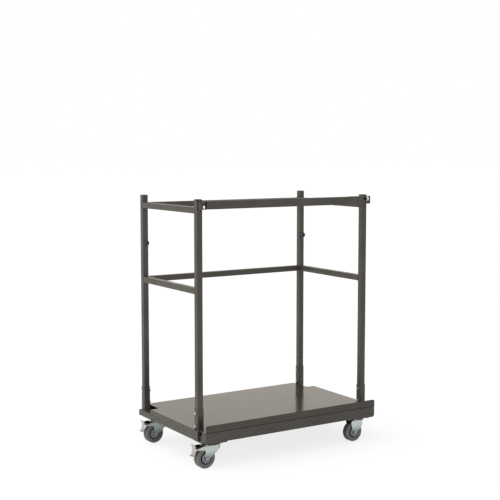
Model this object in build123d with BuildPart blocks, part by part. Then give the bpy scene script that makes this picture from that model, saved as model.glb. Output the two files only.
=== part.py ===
from build123d import *
from math import acos, atan2, cos, hypot, sin
import os

os.makedirs("parts", exist_ok=True)

# Trolley for stacked chairs. Millimetres, +Z up, the floor at z = 0, the open front towards -Y.

# Base frame and deck
base_length = 1040.0
base_depth = 684.0
base_floor = 132.0
frame_tube = 30.0
tube_wall = 2.0
tube_corner = 3.0
least_corner = 0.5
end_plate = 2.0
deck_height = 50.0
sheet = 3.0
fold_r = 2.4
deck_return = 14.0
rear_cut = (50.0, 130.0)
rear_cut_corner = 12.0

# Front edge: the deck runs on past the frame to an upturned lip, with an apron below it
front_reach = 63.0
lip_inset = 10.0
lip_height = 34.0
lip_corner = 12.0
lip_fold_r = 5.0
apron_flange = 22.0
apron_notch = 24.0

# Posts, their sockets and the rails between them
post_size = 30.0
post_inset = 12.0
post_front_inset = 17.0
post_corner = 2.5
post_top = 1290.0
socket_wall = 2.5
socket_height = 100.0
socket_gap = 0.5
socket_bolt_heights = (15.0, 77.0)
mid_rail_floor = 837.0
top_rail_floor = 1222.0
cap_height = 4.0
cap_spigot = 16.0
cap_taper = 12.0

# Swinging front bar, hinged on the left post. Its slotted plate closes over a staple on the right post.
bar_height = 40.0
bar_depth = 20.0
bar_floor = 1242.0
bar_right = 460.0
bar_end_plate = 4.0
bar_plug = 2.0
plug_spigot = 8.0
close_gap = 1.0
hinge_pin_r = 5.0
hinge_head_r = 8.0
hinge_head = 3.5
hinge_tail = 3.0
hinge_chamfer = 1.0
hinge_barrel_r = 11.0
hinge_weld_width = 18.0
hinge_tab = 5.0
hinge_play = 0.5
hinge_reach = 25.0
latch_sheet = 5.0
latch_left = 380.0
latch_right = 527.0
slot_length = 31.0
slot_height = 19.0
slot_x = 504.5
slot_z = 1268.0
staple_x = 495.0
staple_sheet = 4.0
staple_height = 14.0
staple_reach = 22.0
staple_nose = 5.0
staple_hole_r = 3.5
staple_hole_y = 15.0

# Hexagon bolts
bolt_r = 4.0
bolt_head_r = 7.5
bolt_head = 5.5
bolt_nut = 6.5
bolt_end = 3.0

# Castors. Lengths along a castor are measured from its kingpin, positive against the trail.
castor_x = 447.5
castor_front_y = -281.0
castor_rear_y = 252.0
castor_trail = 36.0
wheel_r = 50.0
tyre_half = 17.0
tyre_inner_r = 30.5
tread_half = 13.0
tyre_shoulder_r = 46.5
rim_r = 27.0
rim_half = 12.0
web_half = 5.0
hub_r = 14.0
hub_half = 17.5
sleeve_r = 7.5
axle_r = 5.0
axle_head_r = 9.0
axle_head = 5.0
running_gap = 0.05
fork_inner = 20.5
fork_sheet = 3.0
crown_top = 112.0
crown_sheet = 3.5
crown_r = 30.0
crown_fold = 2.5
crown_rear = -50.0
fork_length = 150.0
fork_foot_r = 13.0
knee_r = 6.0
braked_nose = (25.0, 100.0)
braked_back = ((-40.0, 91.0), (-87.5, 97.0), (-89.5, 101.0))
plain_nose = (1.0, 92.0)
plain_back = ((-60.0, 104.0),)
race_r = 29.0
race_height = 5.0
race_taper = 10.0
ring_r = 26.0
ring_bore_r = 16.0
ring_gap = 0.3
castor_plate = 4.0
castor_plate_size = (105.0, 85.0)
castor_plate_corner = 8.0
castor_bolt_spacing = (80.0, 60.0)
corner_plate = 6.0
corner_plate_size = (125.0, 120.0)
corner_plate_corner = 6.0
corner_plate_front_y = -276.0
corner_plate_rear_y = 267.0
kingpin_r = 6.0
kingpin_head_r = 11.0
kingpin_head = 4.5
kingpin_play = 0.5
kingpin_recess = 1.0
guard_r = 24.5
guard_sheet = 2.5
guard_edge = 1.0

# Brake pedals of the two left castors
pedal_pivot = (-70.0, 100.5)
pedal_tab = ((-101.0, 123.5), (-96.0, 112.0), (-92.0, 101.0))
pedal_foot = ((-92.0, 101.0), (-97.0, 84.0), (-99.0, 69.0), (-110.0, 69.0))
pedal_shoe = (-65.3, 93.5)
pedal_shoe_width = 5.0
pedal_lock = ((-93.0, 109.5), (-63.0, 113.5))
pedal_lock_width = 8.0
pedal_lock_half = 11.0
pedal_sheet = 3.0
pedal_half = 16.0
pedal_notch_r = 4.0
pedal_notch_z = 87.0
pedal_barrel_r = 4.5
pedal_barrel_half = 20.0
pedal_pin_r = 2.5
pedal_pin_end = 1.5

# Each corner of the trolley: left or right, front or rear
corners = {
    "front_left": (-1, -1),
    "front_right": (1, -1),
    "rear_left": (-1, 1),
    "rear_right": (1, 1),
}
braked = ("front_left", "rear_left")

# Levels and places that follow from the sizes above. The brake pedals reach past the left end of the
# base further than the latch plate does past the right end, so the base stands right of the origin.
half_length = base_length / 2
centre_x = (castor_x - pedal_foot[-1][0] - latch_right) / 2
frame_top = base_floor + frame_tube
deck_floor = base_floor + deck_height
deck_top = deck_floor + sheet
rear_y = base_depth / 2
lip_y = -base_depth / 2
frame_front_y = lip_y + front_reach
wide_front_y = frame_front_y + frame_tube
wide_depth = rear_y - wide_front_y
wide_middle_y = (wide_front_y + rear_y) / 2
lip_half = half_length - lip_inset
post_x = half_length - post_inset - post_size / 2
post_front_y = frame_front_y + post_front_inset + post_size / 2
post_rear_y = rear_y - post_inset - post_size / 2
post_face_y = post_front_y - post_size / 2
socket_size = post_size + 2 * socket_wall
socket_top = deck_top + socket_height
socket_corner = post_corner + socket_wall
bolt_levels = [deck_top + height for height in socket_bolt_heights]
bar_y = post_face_y - close_gap - latch_sheet - bar_depth / 2
bar_left = -post_x + hinge_reach + bar_end_plate
bar_middle = bar_floor + bar_height / 2
hinge_y = post_face_y - close_gap - hinge_barrel_r
castor_top = base_floor - corner_plate
castor_under = castor_top - castor_plate
crown_floor = crown_top - crown_sheet
fork_outer = fork_inner + fork_sheet
axle_spot = (-castor_trail, wheel_r)


def at(x, y, z):
    """A point measured from the middle of the base."""
    return (centre_x + x, y, z)


def save(piece, name):
    piece.part.label = name
    export_step(piece.part, f"parts/{name}.step")


def post_spot(corner):
    side, end = corners[corner]
    return side * post_x, post_front_y if end < 0 else post_rear_y


def castor_spot(corner):
    side, end = corners[corner]
    return side * castor_x, castor_front_y if end < 0 else castor_rear_y


def section(width, height, wall, corner_r):
    """Hollow rectangular tube section on the current sketch."""
    inner_r = max(corner_r - wall, least_corner)
    RectangleRounded(width, height, corner_r)
    RectangleRounded(width - 2 * wall, height - 2 * wall, inner_r, mode=Mode.SUBTRACT)


def tube_along_x(name, x_from, x_to, y, z, depth, height):
    start = Plane(origin=at(x_from, y, z), x_dir=(0, 1, 0), z_dir=(1, 0, 0))
    with BuildPart() as tube:
        with BuildSketch(start):
            section(depth, height, tube_wall, tube_corner)
        extrude(amount=x_to - x_from)
    save(tube, name)


def tube_along_y(name, x, y_from, y_to, z, width, height):
    start = Plane(origin=at(x, y_from, z), x_dir=(1, 0, 0), z_dir=(0, 1, 0))
    with BuildPart() as tube:
        with BuildSketch(start):
            section(width, height, tube_wall, tube_corner)
        extrude(amount=y_to - y_from)
    save(tube, name)


# Base frame: low side and rear tubes under the deck's edges, tall front and centre tubes under its sheet
low_middle = base_floor + frame_tube / 2
tall_middle = base_floor + deck_height / 2
for name, side in (("base_left_tube", -1), ("base_right_tube", 1)):
    side_tube_x = side * (half_length - frame_tube / 2)
    tube_along_y(name, side_tube_x, wide_front_y, rear_y - frame_tube, low_middle, frame_tube, frame_tube)
cross_tubes = {
    "base_front_tube": (half_length - end_plate, frame_front_y + frame_tube / 2, tall_middle, deck_height),
    "base_centre_tube": (half_length - frame_tube, wide_middle_y, tall_middle, deck_height),
    "base_rear_tube": (half_length - end_plate, rear_y - frame_tube / 2, low_middle, frame_tube),
}
for name, (end_x, y, z, height) in cross_tubes.items():
    tube_along_x(name, -end_x, end_x, y, z, frame_tube, height)

# Plates that close the ends of the front and rear tubes
with BuildPart() as end_plates:
    for name in ("base_front_tube", "base_rear_tube"):
        end_x, y, z, height = cross_tubes[name]
        for side in (-1, 1):
            with BuildSketch(Plane(origin=at(side * end_x, y, z), x_dir=(0, 1, 0), z_dir=(side, 0, 0))):
                RectangleRounded(frame_tube, height, tube_corner)
            extrude(amount=end_plate)
save(end_plates, "frame_end_plates")

# Deck: one folded sheet. Its sides and rear turn down and then in, to rest on the frame, and its front
# turns up into the lip. Its rear corners are cut away and the front sockets come up through openings.
with BuildPart() as deck:
    with BuildSketch(Plane.XY.offset(deck_floor)):
        with Locations((centre_x, wide_middle_y)):
            Rectangle(base_length, wide_depth)
        with Locations((centre_x, (lip_y + wide_front_y) / 2)):
            Rectangle(2 * lip_half, wide_front_y - lip_y)
    extrude(amount=sheet)
    for width, height in ((sheet, deck_floor - frame_top), (deck_return, sheet)):
        with BuildSketch(Plane.XY.offset(frame_top)):
            with Locations((centre_x, wide_middle_y)):
                Rectangle(base_length, wide_depth)
            with Locations((centre_x, wide_middle_y - width / 2)):
                Rectangle(base_length - 2 * width, wide_depth - width, mode=Mode.SUBTRACT)
        extrude(amount=height)
    with BuildSketch(Plane(origin=at(0, lip_y + sheet, deck_top), x_dir=(1, 0, 0), z_dir=(0, -1, 0))):
        with Locations((0, lip_height / 2)):
            Rectangle(2 * lip_half, lip_height)
    extrude(amount=sheet)
    lip_corners = deck.edges().filter_by(Axis.Y).group_by(Axis.Z)[-1]
    fillet(lip_corners, lip_corner)
    across = deck.edges().filter_by(Axis.Y).group_by(Axis.X)
    left_fold = across[0].sort_by(Axis.Z)[-1]
    right_fold = across[-1].sort_by(Axis.Z)[-1]
    rear_fold = deck.edges().filter_by(Axis.X).group_by(Axis.Y)[-1].sort_by(Axis.Z)[-1]
    fillet([left_fold, right_fold, rear_fold], fold_r)
    along = deck.edges().filter_by(Axis.X).group_by(Axis.Y)
    fillet(along[0].sort_by(Axis.Z)[0], lip_fold_r)
    fillet(along[1].sort_by(Axis.Z)[0], lip_fold_r - sheet)
    with BuildSketch(Plane.XY.offset(frame_top)):
        for side in (-1, 1):
            with Locations((centre_x + side * half_length, rear_y)):
                RectangleRounded(2 * rear_cut[0], 2 * rear_cut[1], rear_cut_corner)
            with Locations((centre_x + side * post_x, post_front_y)):
                RectangleRounded(socket_size + 2 * socket_gap, socket_size + 2 * socket_gap, socket_corner)
    extrude(amount=deck_top - frame_top, mode=Mode.SUBTRACT)
save(deck, "deck_sheet")

# Apron below the lip: front wall, side returns with a relief at the frame, top and bottom flanges
with BuildPart() as apron:
    with BuildSketch(Plane.XY.offset(base_floor)):
        with Locations((centre_x, lip_y + front_reach / 2)):
            Rectangle(2 * lip_half, front_reach)
        with Locations((centre_x, lip_y + sheet + front_reach / 2)):
            Rectangle(2 * (lip_half - sheet), front_reach, mode=Mode.SUBTRACT)
    extrude(amount=deck_height)
    for flange_floor in (base_floor, deck_floor - sheet):
        with BuildSketch(Plane.XY.offset(flange_floor)):
            with Locations((centre_x, lip_y + sheet + apron_flange / 2)):
                Rectangle(2 * (lip_half - sheet), apron_flange)
        extrude(amount=sheet)
    with BuildSketch(Plane(origin=at(-half_length, 0, 0), x_dir=(0, 1, 0), z_dir=(1, 0, 0))):
        with Locations((frame_front_y - apron_notch / 2, (frame_top + deck_floor) / 2)):
            Rectangle(apron_notch, deck_floor - frame_top)
    extrude(amount=base_length, mode=Mode.SUBTRACT)
    front_folds = apron.faces().sort_by(Axis.Y)[0].edges()
    fillet(front_folds, fold_r)
save(apron, "front_apron")

# Corner plates under the frame, tapped for the castor bolts
with BuildPart() as corner_plates:
    for corner in corners:
        castor_y = castor_spot(corner)[1]
        plate_y = corner_plate_front_y if corners[corner][1] < 0 else corner_plate_rear_y
        with BuildSketch(Plane(origin=at(*castor_spot(corner), castor_top))):
            with Locations((0, plate_y - castor_y)):
                RectangleRounded(*corner_plate_size, corner_plate_corner)
            with GridLocations(*castor_bolt_spacing, 2, 2):
                Circle(bolt_r, mode=Mode.SUBTRACT)
        extrude(amount=corner_plate)
save(corner_plates, "corner_plates")

# Sockets that stand on the frame, and the posts bolted into them. The front ones are cut to sit over the
# tall front tube and reach down behind it to the side tubes.
for corner in corners:
    x, y = post_spot(corner)
    at_front = corners[corner][1] < 0
    post_floor = deck_floor if at_front else frame_top
    bolt_side = Plane(origin=at(x - socket_size, y, 0), x_dir=(0, 1, 0), z_dir=(1, 0, 0))
    with BuildPart() as socket:
        with BuildSketch(Plane(origin=at(x, y, frame_top))):
            section(socket_size, socket_size, socket_wall, socket_corner)
        extrude(amount=socket_top - frame_top)
        if at_front:
            with BuildSketch(Plane(origin=at(x, frame_front_y + frame_tube / 2, frame_top))):
                Rectangle(2 * socket_size, frame_tube)
            extrude(amount=deck_floor - frame_top, mode=Mode.SUBTRACT)
        with BuildSketch(bolt_side):
            with Locations(*[(0, z) for z in bolt_levels]):
                Circle(bolt_r)
        extrude(amount=2 * socket_size, mode=Mode.SUBTRACT)
    save(socket, f"{corner}_socket")
    with BuildPart() as post:
        with BuildSketch(Plane(origin=at(x, y, post_floor))):
            section(post_size, post_size, tube_wall, post_corner)
        extrude(amount=post_top - cap_height - post_floor)
        with BuildSketch(bolt_side):
            with Locations(*[(0, z) for z in bolt_levels]):
                Circle(bolt_r)
        extrude(amount=2 * socket_size, mode=Mode.SUBTRACT)
    save(post, f"{corner}_post")

# Plastic caps in the post tops
with BuildPart() as caps:
    for corner in corners:
        cap_seat = Plane(origin=at(*post_spot(corner), post_top - cap_height))
        with BuildSketch(cap_seat):
            RectangleRounded(post_size, post_size, post_corner)
        extrude(amount=cap_height, taper=cap_taper)
        with BuildSketch(cap_seat):
            section(post_size - 2 * tube_wall, post_size - 2 * tube_wall, tube_wall, post_corner - tube_wall)
        extrude(amount=-cap_spigot)
save(caps, "post_caps")

# Two bolts with nuts through each socket, heads outwards
with BuildPart() as post_bolts:
    for corner in corners:
        x, y = post_spot(corner)
        outward = corners[corner][0]
        outer_x = x + outward * socket_size / 2
        inner_x = x - outward * socket_size / 2
        for z in bolt_levels:
            head_face = Plane(origin=at(outer_x, y, z), x_dir=(0, 1, 0), z_dir=(outward, 0, 0))
            nut_face = Plane(origin=at(inner_x, y, z), x_dir=(0, 1, 0), z_dir=(-outward, 0, 0))
            with BuildSketch(head_face):
                RegularPolygon(bolt_head_r, 6)
            extrude(amount=bolt_head)
            with BuildSketch(head_face):
                Circle(bolt_r)
            extrude(amount=-socket_size)
            with BuildSketch(nut_face):
                RegularPolygon(bolt_head_r, 6)
            extrude(amount=bolt_nut)
            with BuildSketch(nut_face):
                Circle(bolt_r)
            extrude(amount=bolt_nut + bolt_end)
save(post_bolts, "post_bolts")

# Rails welded between the posts
rail_front = post_front_y + post_size / 2
rail_rear = post_rear_y - post_size / 2
rail_side = post_x - post_size / 2
for level, z in (("mid", mid_rail_floor + post_size / 2), ("top", top_rail_floor + post_size / 2)):
    for hand, side in (("left", -1), ("right", 1)):
        tube_along_y(f"{hand}_{level}_rail", side * post_x, rail_front, rail_rear, z, post_size, post_size)
    tube_along_x(f"rear_{level}_rail", -rail_side, rail_side, post_rear_y, z, post_size, post_size)

# Hinge of the front bar: a barrel welded to the left post, and its pin
with BuildPart() as barrel:
    with BuildSketch(Plane(origin=at(-post_x, hinge_y, bar_floor + hinge_tab + hinge_play))):
        Circle(hinge_barrel_r)
        with Locations((0, (hinge_barrel_r + close_gap) / 2)):
            Rectangle(hinge_weld_width, hinge_barrel_r + close_gap)
        Circle(hinge_pin_r, mode=Mode.SUBTRACT)
    extrude(amount=bar_height - 2 * (hinge_tab + hinge_play))
save(barrel, "hinge_barrel")

with BuildPart() as hinge_pin:
    with BuildSketch(Plane(origin=at(-post_x, hinge_y, bar_floor - hinge_tail))):
        Circle(hinge_pin_r)
    extrude(amount=hinge_tail + bar_height + hinge_play)
    with BuildSketch(Plane(origin=at(-post_x, hinge_y, bar_floor + bar_height + hinge_play))):
        Circle(hinge_head_r)
    extrude(amount=hinge_head)
    chamfer(hinge_pin.edges().group_by(Axis.Z)[-1], hinge_chamfer)
    chamfer(hinge_pin.edges().group_by(Axis.Z)[0], hinge_chamfer)
save(hinge_pin, "hinge_pin")

# Staple welded to the right post, with a hole for a padlock in front of the closed latch plate
with BuildPart() as staple:
    staple_side = Plane(origin=at(staple_x, post_face_y, slot_z), x_dir=(0, -1, 0), z_dir=(-1, 0, 0))
    with BuildSketch(staple_side):
        with Locations((staple_reach / 2, 0)):
            Rectangle(staple_reach, staple_height)
        with Locations((staple_hole_y, 0)):
            Circle(staple_hole_r, mode=Mode.SUBTRACT)
    extrude(amount=staple_sheet / 2, both=True)
    nose = staple.edges().filter_by(Axis.X).group_by(Axis.Y)[0]
    fillet(nose, staple_nose)
save(staple, "latch_staple")

# Front bar: a tube with a plug in its right end, a hinge fork on its left end and the latch plate behind
with BuildPart() as bar:
    with BuildSketch(Plane(origin=at(bar_left, bar_y, bar_middle), x_dir=(0, 1, 0), z_dir=(1, 0, 0))):
        section(bar_depth, bar_height, tube_wall, tube_corner)
    extrude(amount=bar_right - bar_left)
save(bar, "front_bar")

with BuildPart() as plug:
    plug_seat = Plane(origin=at(bar_right, bar_y, bar_middle), x_dir=(0, 1, 0), z_dir=(1, 0, 0))
    with BuildSketch(plug_seat):
        RectangleRounded(bar_depth, bar_height, tube_corner)
    extrude(amount=bar_plug)
    with BuildSketch(plug_seat):
        section(bar_depth - 2 * tube_wall, bar_height - 2 * tube_wall, tube_wall, tube_corner - tube_wall)
    extrude(amount=-plug_spigot)
save(plug, "bar_end_plug")

with BuildPart() as hinge_fork:
    with BuildSketch(Plane(origin=at(bar_left, bar_y, bar_middle), x_dir=(0, 1, 0), z_dir=(-1, 0, 0))):
        RectangleRounded(bar_depth, bar_height, tube_corner)
    extrude(amount=bar_end_plate)
    for tab_floor in (bar_floor, bar_floor + bar_height - hinge_tab):
        with BuildSketch(Plane(origin=at(-post_x, hinge_y, tab_floor))):
            Circle(hinge_barrel_r)
            with Locations((hinge_reach / 2, bar_y - hinge_y)):
                Rectangle(hinge_reach, bar_depth - 2 * tube_corner)
            Circle(hinge_pin_r + running_gap, mode=Mode.SUBTRACT)
        extrude(amount=hinge_tab)
save(hinge_fork, "bar_hinge_fork")

with BuildPart() as latch:
    latch_face_y = bar_y + bar_depth / 2
    with BuildSketch(Plane(origin=at(0, latch_face_y, 0), x_dir=(1, 0, 0), z_dir=(0, -1, 0))):
        with Locations(((latch_left + latch_right) / 2, bar_middle)):
            RectangleRounded(latch_right - latch_left, bar_height, tube_corner)
        with Locations((slot_x, slot_z)):
            SlotOverall(slot_length, slot_height, mode=Mode.SUBTRACT)
    extrude(amount=-latch_sheet)
save(latch, "latch_plate")


def castor_upright(corner):
    """Upright plane along a castor through its kingpin, with its origin on the floor."""
    return Plane(origin=at(*castor_spot(corner), 0), x_dir=(1, 0, 0), z_dir=(0, -1, 0))


def castor_level(corner, z):
    """Level plane at the height z over a castor's kingpin, with X along the castor."""
    return Plane(origin=at(*castor_spot(corner), z))


def foot_touch(spot, side):
    """Where a straight edge from a spot touches the round foot of a fork, on one side of it."""
    ax, az = axle_spot
    reach = hypot(spot[0] - ax, spot[1] - az)
    turn = atan2(spot[1] - az, spot[0] - ax) + side * acos(fork_foot_r / reach)
    return ax + fork_foot_r * cos(turn), az + fork_foot_r * sin(turn)


def fork_plan(nose_x, half):
    """Plan of a pressed fork on the current sketch: straight sides with a round front."""
    with Locations((nose_x, 0)):
        Circle(half)
    with Locations((nose_x - fork_length / 2, 0)):
        Rectangle(fork_length, 2 * half)


# Castor plates with the upper race pressed into them
with BuildPart() as castor_plates:
    for corner in corners:
        under = Plane(origin=at(*castor_spot(corner), castor_under))
        with BuildSketch(under):
            RectangleRounded(*castor_plate_size, castor_plate_corner)
            with GridLocations(*castor_bolt_spacing, 2, 2):
                Circle(bolt_r, mode=Mode.SUBTRACT)
        extrude(amount=castor_plate)
        with BuildSketch(under):
            Circle(race_r)
        extrude(amount=-race_height, taper=race_taper)
        with BuildSketch(under.offset(castor_plate - kingpin_recess)):
            Circle(kingpin_r)
        extrude(amount=-castor_plate - race_height, mode=Mode.SUBTRACT)
save(castor_plates, "castor_plates")

# Kingpins through the plates, each with a head below its fork
with BuildPart() as kingpins:
    for corner in corners:
        head_top = Plane(origin=at(*castor_spot(corner), crown_floor - kingpin_play))
        with BuildSketch(head_top):
            Circle(kingpin_head_r)
        extrude(amount=-kingpin_head, taper=race_taper)
        with BuildSketch(head_top):
            Circle(kingpin_r)
        extrude(amount=castor_top - kingpin_recess - crown_floor + kingpin_play)
save(kingpins, "castor_kingpins")

# Ball rings between the plates and the fork crowns
with BuildPart() as rings:
    for corner in corners:
        with BuildSketch(Plane(origin=at(*castor_spot(corner), crown_top + ring_gap))):
            Circle(ring_r)
            Circle(ring_bore_r, mode=Mode.SUBTRACT)
        extrude(amount=castor_under - race_height - crown_top - ring_gap)
save(rings, "castor_ball_rings")

# Bolts from below through the castor plates into the corner plates
with BuildPart() as castor_bolts:
    for corner in corners:
        under = Plane(origin=at(*castor_spot(corner), castor_under))
        with BuildSketch(under):
            with GridLocations(*castor_bolt_spacing, 2, 2):
                RegularPolygon(bolt_head_r, 6)
        extrude(amount=-bolt_head)
        with BuildSketch(under):
            with GridLocations(*castor_bolt_spacing, 2, 2):
                Circle(bolt_r)
        extrude(amount=castor_plate + corner_plate)
save(castor_bolts, "castor_bolts")

# Forks, wheels, axles and thread guards
for corner in corners:
    upright = castor_upright(corner)
    ax, az = axle_spot
    (nose_x, nose_z), back = (braked_nose, braked_back) if corner in braked else (plain_nose, plain_back)
    tip = (nose_x + fork_outer, nose_z)
    with BuildPart() as fork:
        with BuildSketch(upright) as side_view:
            with BuildLine():
                crown = ((crown_rear, crown_top), (tip[0], crown_top))
                edge = Polyline(foot_touch(back[0], 1), *back, *crown, tip, foot_touch(tip, -1))
                ThreePointArc(edge @ 1, (ax, az - fork_foot_r), edge @ 0)
            make_face()
            if corner in braked:
                fillet(side_view.vertices().sort_by_distance(back[0])[0], knee_r)
        extrude(amount=fork_outer, both=True)
        with BuildSketch(castor_level(corner, 0)):
            fork_plan(nose_x, fork_outer)
        extrude(amount=crown_top, mode=Mode.INTERSECT)
        crown_edges = fork.edges().group_by(Axis.Z)[-1].sort_by(Axis.X)[1:]
        fillet(crown_edges, crown_fold)
        with BuildSketch(castor_level(corner, 0)):
            fork_plan(nose_x, fork_inner)
        extrude(amount=crown_floor, mode=Mode.SUBTRACT)
        with BuildSketch(castor_level(corner, 0)):
            fork_plan(crown_rear - fork_inner, fork_inner)
        extrude(amount=crown_top, mode=Mode.SUBTRACT)
        with BuildSketch(castor_level(corner, crown_floor)):
            Circle(crown_r)
        extrude(amount=crown_sheet)
        with BuildSketch(castor_level(corner, crown_floor)):
            Circle(kingpin_r + running_gap)
        extrude(amount=crown_sheet, mode=Mode.SUBTRACT)
        with BuildSketch(upright):
            with Locations(axle_spot):
                Circle(axle_r)
            if corner in braked:
                with Locations(pedal_pivot):
                    Circle(pedal_pin_r)
        extrude(amount=2 * fork_outer, both=True, mode=Mode.SUBTRACT)
    save(fork, f"{corner}_fork")

    hub_level = castor_level(corner, wheel_r)
    spin = Axis(upright.from_local_coords((ax, az, 0)), upright.z_dir)
    bore_r = sleeve_r + running_gap
    with BuildPart() as wheel:
        with BuildSketch(hub_level):
            with Locations((ax + (bore_r + hub_r) / 2, 0)):
                Rectangle(hub_r - bore_r, 2 * hub_half)
            with Locations((ax + (hub_r + rim_r) / 2, 0)):
                Rectangle(rim_r - hub_r, 2 * web_half)
            with Locations((ax + (rim_r + tyre_inner_r) / 2, 0)):
                Rectangle(tyre_inner_r - rim_r, 2 * rim_half)
        revolve(axis=spin)
    save(wheel, f"{corner}_wheel")

    with BuildPart() as tyre:
        with BuildSketch(hub_level):
            with BuildLine():
                inner = ax + tyre_inner_r
                wall = ax + tyre_shoulder_r
                tread = ax + wheel_r
                Polyline((wall, -tyre_half), (inner, -tyre_half), (inner, tyre_half), (wall, tyre_half))
                RadiusArc((wall, tyre_half), (tread, tread_half), tyre_half - tread_half)
                Line((tread, tread_half), (tread, -tread_half))
                RadiusArc((tread, -tread_half), (wall, -tyre_half), tyre_half - tread_half)
            make_face()
        revolve(axis=spin)
    save(tyre, f"{corner}_tyre")

    with BuildPart() as axle:
        with BuildSketch(upright):
            with Locations(axle_spot):
                Circle(axle_r)
        extrude(amount=fork_outer, both=True)
        with BuildSketch(upright):
            with Locations(axle_spot):
                Circle(sleeve_r)
        extrude(amount=fork_inner, both=True)
        for hand in (1, -1):
            with BuildSketch(upright.offset(hand * fork_outer)):
                with Locations(axle_spot):
                    RegularPolygon(axle_head_r, 6)
            extrude(amount=hand * axle_head)
    save(axle, f"{corner}_axle")

    with BuildPart() as guards:
        for hand in (1, -1):
            with BuildSketch(upright.offset(hand * (fork_inner - guard_sheet))):
                with Locations(axle_spot):
                    Circle(guard_r)
                    Circle(sleeve_r, mode=Mode.SUBTRACT)
            extrude(amount=hand * guard_sheet)
        rims = guards.edges().filter_by(GeomType.CIRCLE).group_by(SortBy.RADIUS)[-1]
        chamfer(rims, guard_edge)
    save(guards, f"{corner}_thread_guards")

# Brake pedals and their pins
for corner in braked:
    upright = castor_upright(corner)
    with BuildPart() as pedal:
        with BuildSketch(upright):
            with BuildLine():
                Polyline(*pedal_tab)
            trace(line_width=pedal_sheet)
            with BuildLine():
                Polyline(*pedal_foot)
            trace(line_width=pedal_sheet)
            with BuildLine():
                Line(pedal_pivot, pedal_foot[0])
            trace(line_width=pedal_sheet)
            with BuildLine():
                Line(pedal_pivot, pedal_shoe)
            trace(line_width=pedal_shoe_width)
        extrude(amount=pedal_half, both=True)
        with BuildSketch(upright):
            with BuildLine():
                Line(*pedal_lock)
            trace(line_width=pedal_lock_width)
        extrude(amount=pedal_lock_half, both=True)
        kx, ky = castor_spot(corner)
        with BuildSketch(Plane(origin=at(kx + pedal_foot[-1][0], ky, 0), x_dir=(0, 1, 0), z_dir=(1, 0, 0))):
            with Locations((-pedal_half, pedal_notch_z), (pedal_half, pedal_notch_z)):
                Circle(pedal_notch_r)
        extrude(amount=pedal_foot[0][0] - pedal_foot[-1][0], mode=Mode.SUBTRACT)
        with BuildSketch(upright):
            with Locations(pedal_pivot):
                Circle(pedal_barrel_r)
        extrude(amount=pedal_barrel_half, both=True)
        with BuildSketch(upright):
            with Locations(pedal_pivot):
                Circle(pedal_pin_r + running_gap)
        extrude(amount=2 * fork_outer, both=True, mode=Mode.SUBTRACT)
    save(pedal, f"{corner}_brake_pedal")

    with BuildPart() as brake_pin:
        with BuildSketch(upright):
            with Locations(pedal_pivot):
                Circle(pedal_pin_r)
        extrude(amount=fork_outer + pedal_pin_end, both=True)
    save(brake_pin, f"{corner}_brake_pin")
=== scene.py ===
import math

import bmesh
import bpy
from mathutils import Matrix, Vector


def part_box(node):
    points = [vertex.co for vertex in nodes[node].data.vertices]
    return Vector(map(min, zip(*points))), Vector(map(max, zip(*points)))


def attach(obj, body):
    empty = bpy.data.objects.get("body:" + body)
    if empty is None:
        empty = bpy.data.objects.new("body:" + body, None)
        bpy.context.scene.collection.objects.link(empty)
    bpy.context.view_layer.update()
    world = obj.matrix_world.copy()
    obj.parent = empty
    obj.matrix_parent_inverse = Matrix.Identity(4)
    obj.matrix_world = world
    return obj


# Trolley for stacked chairs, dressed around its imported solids. Metres, +Z up, floor at z = 0.
ALONG_X = Vector((1.0, 0.0, 0.0))
ALONG_Y = Vector((0.0, 1.0, 0.0))
ALONG_Z = Vector((0.0, 0.0, 1.0))

# Camera at the photograph's angle: its place from the middle of the base, its angles in degrees, and its
# lens and sensor in millimetres
CAMERA_PLACE = (-2.9898, -4.6272, 1.5354)
CAMERA_YAW = 32.47
CAMERA_PITCH = 5.51
CAMERA_LENS = 76.9
SENSOR = 36.0

# Castors: levels over the fork's foot between which the painted shade on its plating fades out upwards, and
# where the pedal's swivel-lock block starts to be painted black as shade, along and up, with the width of its
# edge
FORK_PAINTED_SHADE = (0.012, 0.048)
LOCK_SHADE_FROM = (0.0195, 0.0380)
LOCK_SHADE_EDGE = 0.0003
LOCK_SHADE_BLACK = (0.012, 0.012, 0.013)

# Paint: share and edge tint of its metal flake, and the dust that settles on everything
FLAKE_SHARE = 0.4
FLAKE_TINT = (1.0, 0.89, 0.73)
DUST = (0.31, 0.285, 0.25)

# Weld beads: their ripple, with its rings in each pitch, and their share of thickness at a free end. Then
# the rounded edges that they follow, and how far they stand in at the hinge barrel and the latch plate.
WELD_R = 0.0022
WELD_PITCH = 0.0032
WELD_RIPPLE = 0.12
WELD_RINGS = 2
WELD_END = 0.35
WELD_SIDES = 8
TUBE_EDGE = 0.003
SOCKET_EDGE = 0.005
BARREL_NECK = 0.002
BAR_WELD_DROP = 0.001

# Rubber buffers on the rear posts, each held by a screw in a recess
BUFFER_LEVEL = 1.0415
BUFFER_R = 0.0150
BUFFER_LENGTH = 0.0150
BUFFER_EDGE = 0.0025
BUFFER_TAPER = 0.0010
RECESS_R = 0.0060
RECESS_DEPTH = 0.0050
SCREW_R = 0.0045
SCREW_HEIGHT = 0.0028
SCREW_SOCKET_R = 0.0018

# Round shapes: steps round a turned piece and along a quarter turn, and the angle of a sharp edge in degrees
TURN_STEPS = 40
ARC_STEPS = 5
SHARP_ANGLE = 40.0

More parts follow.
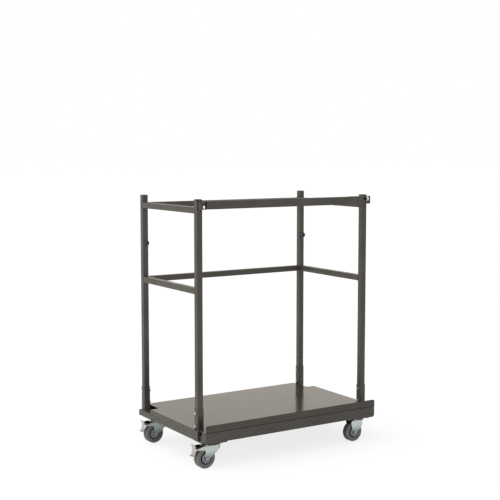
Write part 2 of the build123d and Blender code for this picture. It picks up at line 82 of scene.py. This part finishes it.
# Studio: the floor is partly seen as plain white, less so where metal mirrors it. Lamp angles in degrees.
WHITE = (1.0, 1.0, 1.0)
FLOOR_HALF = 60.0
FLOOR_COLOUR = (0.93, 0.93, 0.93)
FLOOR_ROUGHNESS = 0.9
FLOOR_GLOW = 0.8
FLOOR_MIRRORED = 0.2
AMBIENT = (0.55, 0.55, 0.55)
CAMERA_RAYS = ["Is Camera Ray"]
MIRROR_RAYS = ["Is Glossy Ray", "Is Transmission Ray"]
KEY_LEVEL = 2.0
KEY_ANGLE = 110.0
KEY_PLACE = (-3.0, -1.4, 4.2)
SIDE_LEVEL = 2.2
SIDE_ANGLE = 90.0
SIDE_PLACE = (-3.6, 2.4, 1.7)
AIM_HEIGHT = 0.6

# Sockets of a mix node that carry colours, and the rays that a bevel node sends out
MIX_INPUTS = (6, 7)
MIX_OUTPUT = 2
BEVEL_RAYS = 6

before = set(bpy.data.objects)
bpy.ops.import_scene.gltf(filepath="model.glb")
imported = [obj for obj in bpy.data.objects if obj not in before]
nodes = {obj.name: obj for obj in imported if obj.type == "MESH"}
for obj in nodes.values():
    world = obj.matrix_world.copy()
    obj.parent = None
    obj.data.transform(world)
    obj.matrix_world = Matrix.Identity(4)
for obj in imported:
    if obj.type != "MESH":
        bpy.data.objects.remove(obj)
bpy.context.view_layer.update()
deck_low, deck_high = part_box("deck_sheet")
base_x = (deck_low[0] + deck_high[0]) / 2


# Node trees
class Tree:
    """A node tree with short calls to add and join nodes."""

    def __init__(self, owner):
        owner.use_nodes = True
        self.nodes = owner.node_tree.nodes
        self.links = owner.node_tree.links

    def add(self, kind, **settings):
        node = self.nodes.new(kind)
        for key, value in settings.items():
            setattr(node, key, value)
        return node

    def join(self, output, target):
        self.links.new(output, target)

    def maths(self, operation, first, second):
        """The result of two values, kept between 0 and 1; either may be a socket or a fixed number."""
        node = self.add("ShaderNodeMath", operation=operation, use_clamp=True)
        for value, target in zip((first, second), node.inputs):
            if isinstance(value, float):
                target.default_value = value
            else:
                self.join(value, target)
        return node.outputs[0]


class Surface(Tree):
    """A material's node tree, with patterns in the piece's own space and edges that look rounded."""

    def __init__(self, name, edge_radius):
        self.material = bpy.data.materials.new(name)
        super().__init__(self.material)
        self.shader = self.nodes["Principled BSDF"]
        self.place = self.add("ShaderNodeTexCoord").outputs["Object"]
        self.normal = self.rounded_normal(edge_radius)

    def noise(self, scale, detail=3.0, rough=0.55, stretch=None):
        place = self.place
        if stretch:
            mapping = self.add("ShaderNodeMapping")
            mapping.inputs["Scale"].default_value = stretch
            self.join(place, mapping.inputs["Vector"])
            place = mapping.outputs["Vector"]
        node = self.add("ShaderNodeTexNoise")
        node.inputs["Scale"].default_value = scale
        node.inputs["Detail"].default_value = detail
        node.inputs["Roughness"].default_value = rough
        self.join(place, node.inputs["Vector"])
        return node.outputs["Fac"]

    def cells(self, scale):
        """Distance from the middles of irregular cells."""
        node = self.add("ShaderNodeTexVoronoi")
        node.inputs["Scale"].default_value = scale
        self.join(self.place, node.inputs["Vector"])
        return node.outputs["Distance"]

    def spread(self, value, low, high, start=0.3, end=0.7):
        """Goes from low to high as the value goes from start to end."""
        node = self.add("ShaderNodeMapRange")
        node.inputs["From Min"].default_value = start
        node.inputs["From Max"].default_value = end
        node.inputs["To Min"].default_value = low
        node.inputs["To Max"].default_value = high
        self.join(value, node.inputs["Value"])
        return node.outputs["Result"]

    def ramp(self, value, first, second, start=0.3, end=0.7):
        """Goes from the first colour to the second as the value goes from start to end."""
        node = self.add("ShaderNodeValToRGB")
        for point, place, colour in zip(node.color_ramp.elements, (start, end), (first, second)):
            point.position = place
            point.color = (*colour, 1)
        self.join(value, node.inputs["Fac"])
        return node.outputs["Color"]

    def blend(self, factor, first, second):
        """Colour that goes from the first to the second; either may be a socket or a fixed colour."""
        node = self.add("ShaderNodeMix", data_type="RGBA")
        self.join(factor, node.inputs["Factor"])
        for colour, key in zip((first, second), MIX_INPUTS):
            if isinstance(colour, tuple):
                node.inputs[key].default_value = (*colour, 1)
            else:
                self.join(colour, node.inputs[key])
        return node.outputs[MIX_OUTPUT]

    def rounded_normal(self, radius):
        """The way that the surface looks, rounded at its edges."""
        bevel = self.add("ShaderNodeBevel", samples=BEVEL_RAYS)
        bevel.inputs["Radius"].default_value = radius
        return bevel.outputs["Normal"]

    def edges(self, radius, start, end):
        """0 on flat faces, rising to 1 on edges that stand out within the radius."""
        straight = self.add("ShaderNodeNewGeometry").outputs["Normal"]
        dot = self.add("ShaderNodeVectorMath", operation="DOT_PRODUCT")
        self.join(self.rounded_normal(radius), dot.inputs[0])
        self.join(straight, dot.inputs[1])
        return self.spread(dot.outputs["Value"], 1.0, 0.0, start, end)

    def part_of(self, vector, axis):
        split = self.add("ShaderNodeSeparateXYZ")
        self.join(vector, split.inputs[0])
        return split.outputs[axis]

    def upward(self, start, end):
        """0 on side faces, rising to 1 on faces that look up."""
        normal = self.add("ShaderNodeNewGeometry").outputs["Normal"]
        return self.spread(self.part_of(normal, "Z"), 0.0, 1.0, start, end)

    def sideways(self, start, end):
        """0 on the tread of a wheel, rising to 1 on its flanks."""
        normal = self.add("ShaderNodeTexCoord").outputs["Normal"]
        size = self.add("ShaderNodeMath", operation="ABSOLUTE")
        self.join(self.part_of(normal, "Y"), size.inputs[0])
        return self.spread(size.outputs[0], 0.0, 1.0, start, end)

    def beyond(self, axis, start, end):
        """0 up to a place along an axis of the piece, rising to 1."""
        return self.spread(self.part_of(self.place, axis), 0.0, 1.0, start, end)

    def bump(self, value, strength, distance):
        """Adds a layer of relief."""
        node = self.add("ShaderNodeBump")
        node.inputs["Strength"].default_value = strength
        node.inputs["Distance"].default_value = distance
        self.join(value, node.inputs["Height"])
        self.join(self.normal, node.inputs["Normal"])
        self.normal = node.outputs["Normal"]

    def finish(self, colour, roughness, metallic=0.0, tint=WHITE):
        self.join(colour, self.shader.inputs["Base Color"])
        self.join(roughness, self.shader.inputs["Roughness"])
        self.join(self.normal, self.shader.inputs["Normal"])
        self.shader.inputs["Metallic"].default_value = metallic
        self.shader.inputs["Specular Tint"].default_value = (*tint, 1)
        return self.material


# Materials
def shade(colour, times, plus=0.0):
    """The colour made lighter or darker."""
    return tuple(min(1.0, value * times + plus) for value in colour)


def powder_coat(name, dark, light, rough_low, rough_high, scuffs, scuff_run, dust_most):
    """Powder coat with warm flake: orange peel, clouded tone, worn edges, dust, and scuffs along one way."""
    tree = Surface(name, edge_radius=0.0009)
    cloud = tree.noise(scale=9.0, detail=5.0, rough=0.6)
    tone = tree.ramp(cloud, dark, light, start=0.3, end=0.72)
    chips = tree.spread(tree.noise(scale=60.0, detail=4.0), low=0.0, high=0.9, start=0.48, end=0.68)
    wear = tree.maths("MULTIPLY", tree.edges(radius=0.0016, start=0.80, end=0.97), chips)
    tone = tree.blend(wear, tone, shade(light, times=2.0, plus=0.03))
    streaks = tree.noise(scale=30.0, detail=6.0, rough=0.7, stretch=scuff_run)
    marks = tree.spread(streaks, low=0.0, high=scuffs, start=0.60, end=0.72)
    tone = tree.blend(marks, tone, shade(light, times=1.5))
    settled = tree.noise(scale=22.0, detail=6.0, rough=0.65)
    film = tree.spread(settled, low=0.0, high=dust_most, start=0.35, end=0.75)
    dust = tree.maths("MULTIPLY", tree.upward(start=0.6, end=0.95), film)
    tone = tree.blend(dust, tone, DUST)
    rough = tree.spread(tree.noise(scale=14.0, detail=5.0), rough_low, rough_high)
    tree.bump(tree.noise(scale=900.0, detail=2.0), strength=0.10, distance=0.0003)
    tree.bump(tree.noise(scale=260.0, detail=2.0), strength=0.06, distance=0.0006)
    return tree.finish(tone, rough, FLAKE_SHARE, FLAKE_TINT)


def zinc_plate(name, dark, light, rough_low, rough_high, shade_below=None, black_shade_from=None):
    """Zinc plating: fine spangle and dull patches. It may be darker below a level as painted shade, and
    painted black as shade in one part.
    """
    tree = Surface(name, edge_radius=0.0008)
    spangle = tree.spread(tree.cells(scale=420.0), low=0.0, high=1.0, start=0.1, end=0.7)
    cloud = tree.noise(scale=38.0, detail=5.0, rough=0.6)
    tone = tree.blend(cloud, tree.ramp(spangle, dark, light, start=0.0, end=1.0), light)
    patches = tree.noise(scale=70.0, detail=6.0, rough=0.7)
    grime = tree.spread(patches, low=0.0, high=0.5, start=0.56, end=0.74)
    tone = tree.blend(grime, tone, shade(dark, times=0.55))
    # Painted shade: the plating darker towards the fork's foot
    if shade_below:
        tone = tree.blend(tree.beyond("Z", *shade_below), shade(dark, times=0.45), tone)
    # Painted shade: the pedal's swivel-lock block turns black, standing in for the shadow inside the fork
    if black_shade_from:
        along = tree.beyond("X", black_shade_from[0], black_shade_from[0] + LOCK_SHADE_EDGE)
        up = tree.beyond("Z", black_shade_from[1], black_shade_from[1] + LOCK_SHADE_EDGE)
        tone = tree.blend(tree.maths("MULTIPLY", along, up), tone, LOCK_SHADE_BLACK)
    rough = tree.spread(tree.noise(scale=90.0, detail=4.0), rough_low, rough_high)
    tree.bump(spangle, strength=0.05, distance=0.0002)
    tree.bump(tree.noise(scale=500.0, detail=2.0), strength=0.08, distance=0.0003)
    return tree.finish(tone, rough, metallic=1.0)


def rubber(name, dark, light, dust_most):
    """Rubber: dull and dusty, with lighter flanks, lighter shoulders and fine scuffs."""
    tree = Surface(name, edge_radius=0.001)
    tone = tree.ramp(tree.noise(scale=35.0, detail=5.0, rough=0.6), dark, light)
    tone = tree.blend(tree.sideways(start=0.5, end=0.95), tone, shade(light, times=1.4))
    shoulder = tree.maths("SUBTRACT", tree.sideways(start=0.15, end=0.5), tree.sideways(start=0.75, end=0.97))
    tone = tree.blend(shoulder, tone, shade(light, times=2.2))
    settled = tree.noise(scale=120.0, detail=6.0, rough=0.7)
    dust = tree.spread(settled, low=0.0, high=dust_most, start=0.5, end=0.78)
    tone = tree.blend(dust, tone, DUST)
    rough = tree.spread(tree.noise(scale=60.0, detail=4.0), low=0.58, high=0.82)
    tree.bump(tree.noise(scale=700.0, detail=3.0), strength=0.25, distance=0.0004)
    tree.bump(tree.noise(scale=150.0, detail=3.0), strength=0.12, distance=0.0008)
    return tree.finish(tone, rough)


def moulded(name, dark, light, rough_low, rough_high):
    """Moulded plastic: fine spark texture, slightly uneven tone, edges rubbed lighter."""
    tree = Surface(name, edge_radius=0.0008)
    tone = tree.ramp(tree.noise(scale=28.0, detail=4.0), dark, light)
    rubs = tree.spread(tree.noise(scale=90.0, detail=4.0), low=0.0, high=0.7, start=0.45, end=0.7)
    wear = tree.maths("MULTIPLY", tree.edges(radius=0.0012, start=0.82, end=0.97), rubs)
    tone = tree.blend(wear, tone, shade(light, times=1.8, plus=0.02))
    rough = tree.spread(tree.noise(scale=70.0, detail=4.0), rough_low, rough_high)
    tree.bump(tree.noise(scale=1100.0, detail=2.0), strength=0.18, distance=0.0003)
    return tree.finish(tone, rough)


# Levels over the fork's foot for its painted shade
fork_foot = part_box("front_left_fork")[0][2]
fork_shade_levels = [fork_foot + level for level in FORK_PAINTED_SHADE]
# Where the pedal's swivel-lock block starts to be painted black as shade
pedal_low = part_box("front_left_brake_pedal")[0]
lock_shade_start = (pedal_low[0] + LOCK_SHADE_FROM[0], pedal_low[2] + LOCK_SHADE_FROM[1])

paint = powder_coat(
    "frame_paint",
    dark=(0.042, 0.0395, 0.0365),
    light=(0.057, 0.054, 0.050),
    rough_low=0.28,
    rough_high=0.42,
    scuffs=0.25,
    scuff_run=(1.0, 1.0, 0.12),
    dust_most=0.16,
)
deck_paint = powder_coat(
    "deck_paint",
    dark=(0.037, 0.0345, 0.031),
    light=(0.049, 0.0455, 0.041),
    rough_low=0.11,
    rough_high=0.18,
    scuffs=0.15,
    scuff_run=(1.0, 0.12, 1.0),
    dust_most=0.10,
)
zinc = zinc_plate("zinc_plate", (0.36, 0.39, 0.39), (0.50, 0.53, 0.53), 0.30, 0.46)
fork_zinc = zinc_plate(
    "fork_zinc", (0.41, 0.46, 0.45), (0.50, 0.55, 0.53), 0.30, 0.46, shade_below=fork_shade_levels
)
pedal_zinc = zinc_plate(
    "pedal_zinc", (0.33, 0.33, 0.30), (0.54, 0.54, 0.50), 0.38, 0.54, black_shade_from=lock_shade_start
)
axle_zinc = zinc_plate("axle_zinc", (0.21, 0.215, 0.225), (0.32, 0.325, 0.335), 0.34, 0.5)
plate_steel = zinc_plate("plate_steel", (0.05, 0.055, 0.055), (0.09, 0.095, 0.095), 0.40, 0.6)
bearing = zinc_plate("greased_steel", (0.04, 0.04, 0.04), (0.09, 0.09, 0.09), 0.30, 0.5)
tyre_rubber = rubber("grey_rubber", (0.044, 0.041, 0.037), (0.075, 0.071, 0.066), dust_most=0.45)
buffer_rubber = rubber("buffer_rubber", (0.010, 0.010, 0.010), (0.018, 0.018, 0.018), dust_most=0.12)
wheel_plastic = moulded("wheel_plastic", (0.13, 0.135, 0.15), (0.19, 0.195, 0.21), 0.36, 0.52)
core_plastic = moulded("core_plastic", (0.006, 0.006, 0.007), (0.014, 0.014, 0.015), 0.5, 0.65)
cap_plastic = moulded("cap_plastic", (0.016, 0.016, 0.017), (0.028, 0.028, 0.029), 0.40, 0.58)

# The first ending that fits a piece's name gives its material; all other pieces are painted
by_ending = [
    ("deck_sheet", deck_paint),
    ("brake_pedal", pedal_zinc),
    ("ball_rings", bearing),
    ("_tyre", tyre_rubber),
    ("thread_guards", wheel_plastic),
    ("_wheel", core_plastic),
    ("post_caps", cap_plastic),
    ("bar_end_plug", cap_plastic),
    ("hinge_fork", paint),
    ("_fork", fork_zinc),
    ("_axle", axle_zinc),
    ("brake_pin", zinc),
    ("castor_plates", plate_steel),
    ("kingpins", zinc),
    ("_bolts", zinc),
]


def material_for(name):
    for ending, material in by_ending:
        if name.endswith(ending):
            return material
    return paint


def dress(piece, material):
    piece.data.materials.clear()
    piece.data.materials.append(material)


for name, piece in nodes.items():
    dress(piece, material_for(name))


# Meshes
def add_piece(name, mesh, material, body):
    """A smooth piece with this mesh, that rides on a body."""
    bmesh.ops.recalc_face_normals(mesh, faces=mesh.faces)
    data = bpy.data.meshes.new(name)
    mesh.to_mesh(data)
    mesh.free()
    data.shade_smooth()
    piece = bpy.data.objects.new(name, data)
    bpy.context.scene.collection.objects.link(piece)
    dress(piece, material)
    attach(piece, body)
    return piece


def full_turn(steps):
    """Angles of evenly spread points round a circle."""
    return [2 * math.pi * step / steps for step in range(steps)]


def quarter_turn():
    """Angles along a rounded right-angled corner, both ends included."""
    return [math.pi / 2 * step / ARC_STEPS for step in range(ARC_STEPS + 1)]


# Weld beads
def rounded(corners, radius, closed):
    """A path along right-angled corners that are rounded off."""
    path = [Vector(corner) for corner in corners]
    points = []
    for index, corner in enumerate(path):
        if not closed and index in (0, len(path) - 1):
            points.append(corner)
            continue
        back = (path[index - 1] - corner).normalized()
        onward = (path[(index + 1) % len(path)] - corner).normalized()
        centre = corner + (back + onward) * radius
        for angle in quarter_turn():
            points.append(centre - (onward * math.cos(angle) + back * math.sin(angle)) * radius)
    return points


def bead_places(path, across, closed):
    """Spots along a path that lies flat across an axis, each with its way sideways and its distance."""
    ends = path[1:] + path[:1] if closed else path[1:]
    runs = [end - start for start, end in zip(path, ends)]
    sides = [across.cross(run.normalized()) for run in runs]
    places = []
    travelled = 0.0
    for index, (start, run) in enumerate(zip(path, runs)):
        side = sides[index]
        before = sides[index - 1] if closed or index else side
        mitre = (before + side) / (1 + before.dot(side))
        places.append((start, mitre, travelled))
        steps = max(1, round(WELD_RINGS * run.length / WELD_PITCH))
        for step in range(1, steps):
            share = step / steps
            places.append((start + run * share, side, travelled + run.length * share))
        travelled += run.length
    if not closed:
        places.append((path[-1], sides[-1], travelled))
    return places, travelled


def bead(mesh, path, across, closed):
    """A rippled weld bead along a path, mitred at its turns and thinner at its free ends."""
    places, total = bead_places(path, across, closed)
    rings = []
    for spot, side, distance in places:
        to_end = total if closed else min(distance, total - distance)
        ripple = 1 - WELD_RIPPLE + WELD_RIPPLE * math.cos(2 * math.pi * distance / WELD_PITCH)
        radius = WELD_R * ripple * min(1.0, to_end / WELD_PITCH + WELD_END)
        around = [across * math.cos(angle) + side * math.sin(angle) for angle in full_turn(WELD_SIDES)]
        rings.append([mesh.verts.new(spot + way * radius) for way in around])
    followers = rings[1:] + rings[:1] if closed else rings[1:]
    for first, second in zip(rings, followers):
        for step in range(WELD_SIDES):
            after = (step + 1) % WELD_SIDES
            mesh.faces.new((first[step], first[after], second[after], second[step]))
    if not closed:
        mesh.faces.new(rings[0][::-1])
        mesh.faces.new(rings[-1])


def weld_piece(name, runs, body):
    """One piece of several weld beads; a run is its path, the axis it is flat across, and if it closes."""
    mesh = bmesh.new()
    for path, across, closed in runs:
        bead(mesh, path, across, closed)
    add_piece(name, mesh, paint, body)


def straight_run(start, end, across):
    return [Vector(start), Vector(end)], across, False


def upright_run(x, y, bottom, top):
    return straight_run((x, y, bottom), (x, y, top), ALONG_X)


# Rails are flush with the posts outside and welded on the other sides. One upright bead serves both rails
# that meet at a rear post.
rail_runs = []
for level in ("mid", "top"):
    for hand in ("left", "right"):
        low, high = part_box(f"{hand}_{level}_rail")
        outer_x, inner_x = (low[0], high[0]) if hand == "left" else (high[0], low[0])
        top, bottom = high[2], low[2]
        for y in (low[1], high[1]):
            corners = ((outer_x, y, top), (inner_x, y, top), (inner_x, y, bottom), (outer_x, y, bottom))
            rail_runs.append((rounded(corners, TUBE_EDGE, False), ALONG_Y, False))
    low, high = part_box(f"rear_{level}_rail")
    for x in (low[0], high[0]):
        for z in (low[2], high[2]):
            rail_runs.append(straight_run((x, low[1], z), (x, high[1], z), ALONG_X))
weld_piece("rail_welds", rail_runs, "trolley_frame")

# Sockets are welded all round, the front ones at the top of the front tube and the rear ones at their foot
socket_runs = []
for corner in ("front_left", "front_right", "rear_left", "rear_right"):
    low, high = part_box(f"{corner}_socket")
    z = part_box("base_front_tube")[1][2] if corner.startswith("front") else low[2]
    corners = ((low[0], low[1], z), (high[0], low[1], z), (high[0], high[1], z), (low[0], high[1], z))
    socket_runs.append((rounded(corners, SOCKET_EDGE, True), ALONG_Z, True))
weld_piece("socket_welds", socket_runs, "trolley_frame")

# Hinge barrel and latch staple on the faces of the front posts
post_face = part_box("front_left_post")[0][1]
low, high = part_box("hinge_barrel")
barrel_sides = (low[0] + BARREL_NECK, high[0] - BARREL_NECK)
hinge_runs = [upright_run(x, post_face, low[2], high[2]) for x in barrel_sides]
low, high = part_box("latch_staple")
hinge_runs += [upright_run(x, post_face, low[2], high[2]) for x in (low[0], high[0])]
weld_piece("hinge_and_staple_welds", hinge_runs, "trolley_frame")

# Latch plate on the back of the bar
low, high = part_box("latch_plate")
bar_right, bar_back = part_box("front_bar")[1][:2]
bar_runs = []
for z in (low[2] + BAR_WELD_DROP, high[2] - BAR_WELD_DROP):
    bar_runs.append(straight_run((low[0] + TUBE_EDGE, bar_back, z), (bar_right, bar_back, z), ALONG_Y))
bar_runs.append(upright_run(low[0], bar_back, low[2] + TUBE_EDGE, high[2] - TUBE_EDGE))
weld_piece("bar_welds", bar_runs, "swing_bar")


# Rubber buffers
def rounded_rim(rim_radius, length, edge):
    """Points of a rounded outer edge in a turned profile, as distance from the axis and distance along it."""
    points = []
    for angle in quarter_turn():
        points.append((rim_radius - edge + edge * math.cos(angle), length - edge + edge * math.sin(angle)))
    return points


def turned_piece(name, profile, foot, material):
    """Turns a profile, closed at both ends, about an axis that leaves the foot towards the front."""
    mesh = bmesh.new()
    rings = []
    for radius, along in profile:
        angles = full_turn(TURN_STEPS if radius else 1)
        around = [Vector((radius * math.cos(angle), -along, radius * math.sin(angle))) for angle in angles]
        rings.append([mesh.verts.new(foot + way) for way in around])
    for first, second in zip(rings, rings[1:]):
        for step in range(TURN_STEPS):
            after = (step + 1) % TURN_STEPS
            if len(first) == 1:
                mesh.faces.new((first[0], second[step], second[after]))
            elif len(second) == 1:
                mesh.faces.new((first[step], second[0], first[after]))
            else:
                mesh.faces.new((first[step], second[step], second[after], first[after]))
    piece = add_piece(name, mesh, material, "trolley_frame")
    piece.data.set_sharp_from_angle(angle=math.radians(SHARP_ANGLE))


recess_floor = BUFFER_LENGTH - RECESS_DEPTH
buffer_profile = [
    (0.0, 0.0),
    (BUFFER_R, 0.0),
    *rounded_rim(BUFFER_R - BUFFER_TAPER, BUFFER_LENGTH, BUFFER_EDGE),
    (RECESS_R, BUFFER_LENGTH),
    (RECESS_R, recess_floor),
    (0.0, recess_floor),
]
screw_edge = SCREW_HEIGHT / 2
socket_floor = SCREW_HEIGHT / 3
screw_profile = [
    (0.0, 0.0),
    (SCREW_R, 0.0),
    *rounded_rim(SCREW_R, SCREW_HEIGHT, screw_edge),
    (SCREW_SOCKET_R, SCREW_HEIGHT),
    (SCREW_SOCKET_R, socket_floor),
    (0.0, socket_floor),
]
for corner in ("rear_left", "rear_right"):
    low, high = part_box(f"{corner}_post")
    foot = Vector(((low[0] + high[0]) / 2, low[1], BUFFER_LEVEL))
    seat = foot - ALONG_Y * recess_floor
    turned_piece(f"{corner}_buffer", buffer_profile, foot, buffer_rubber)
    turned_piece(f"{corner}_buffer_screw", screw_profile, seat, bearing)


# Floor, world and light
def ray_share(tree, kinds, most):
    """A share for the named kinds of ray, and 0 for all others."""
    rays = tree.add("ShaderNodeLightPath")
    total = rays.outputs[kinds[0]]
    for kind in kinds[1:]:
        total = tree.maths("MAXIMUM", total, rays.outputs[kind])
    return tree.maths("MULTIPLY", total, most)


def emitter(node, colour):
    """Gives a node that sends out light its colour, at a strength of 1."""
    node.inputs["Color"].default_value = (*colour, 1)
    node.inputs["Strength"].default_value = 1.0
    return node


def share_out(tree, share, lit, white, target):
    """Joins the target to the lit shader, with a share of the white one."""
    choice = tree.add("ShaderNodeMixShader")
    tree.join(share, choice.inputs["Fac"])
    tree.join(lit.outputs[0], choice.inputs[1])
    tree.join(white.outputs[0], choice.inputs[2])
    tree.join(choice.outputs[0], target.inputs["Surface"])


def floor_material():
    """Matt pale floor that looks white where it is seen and keeps a soft share of the shadow."""
    material = bpy.data.materials.new("pale_floor")
    tree = Tree(material)
    lit = tree.nodes["Principled BSDF"]
    lit.inputs["Base Color"].default_value = (*FLOOR_COLOUR, 1)
    lit.inputs["Roughness"].default_value = FLOOR_ROUGHNESS
    lit.inputs["Specular IOR Level"].default_value = 0.0
    white = emitter(tree.add("ShaderNodeEmission"), WHITE)
    seen = ray_share(tree, CAMERA_RAYS, FLOOR_GLOW)
    mirrored = ray_share(tree, MIRROR_RAYS, FLOOR_MIRRORED)
    share = tree.maths("MAXIMUM", seen, mirrored)
    share_out(tree, share, lit, white, tree.nodes["Material Output"])
    return material


def studio_world():
    """Soft even light, seen as plain white."""
    world = bpy.data.worlds.new("studio")
    tree = Tree(world)
    ambient = emitter(tree.nodes["Background"], AMBIENT)
    white = emitter(tree.add("ShaderNodeBackground"), WHITE)
    share = ray_share(tree, CAMERA_RAYS + MIRROR_RAYS, 1.0)
    share_out(tree, share, ambient, white, tree.nodes["World Output"])
    return world


def add_lamp(name, level, angle, place):
    """A wide soft lamp, aimed at the middle of the trolley. Gloss shows the white surroundings only."""
    light = bpy.data.lights.new(name, "SUN")
    light.energy = level
    light.angle = math.radians(angle)
    lamp = bpy.data.objects.new(name, light)
    lamp.visible_glossy = False
    lamp.location = place
    aim = Vector((base_x, 0.0, AIM_HEIGHT)) - Vector(place)
    lamp.rotation_euler = aim.to_track_quat("-Z", "Y").to_euler()
    bpy.context.scene.collection.objects.link(lamp)


floor_corners = [(x * FLOOR_HALF, y * FLOOR_HALF, 0.0) for x, y in ((-1, -1), (1, -1), (1, 1), (-1, 1))]
floor_mesh = bpy.data.meshes.new("floor")
floor_mesh.from_pydata(floor_corners, [], [(0, 1, 2, 3)])
floor = bpy.data.objects.new("floor", floor_mesh)
floor.data.materials.append(floor_material())
bpy.context.scene.collection.objects.link(floor)

bpy.context.scene.world = studio_world()
add_lamp("key", KEY_LEVEL, KEY_ANGLE, KEY_PLACE)
add_lamp("side", SIDE_LEVEL, SIDE_ANGLE, SIDE_PLACE)

# Camera
camera_data = bpy.data.cameras.new("camera")
camera_data.lens = CAMERA_LENS
camera_data.sensor_width = SENSOR
camera_data.sensor_fit = "HORIZONTAL"
camera = bpy.data.objects.new("camera", camera_data)
camera.location = (base_x + CAMERA_PLACE[0], CAMERA_PLACE[1], CAMERA_PLACE[2])
camera.rotation_euler = (math.radians(90 - CAMERA_PITCH), 0, math.radians(-CAMERA_YAW))
bpy.context.scene.collection.objects.link(camera)
bpy.context.scene.camera = camera
bpy.context.scene.view_settings.view_transform = "Standard"
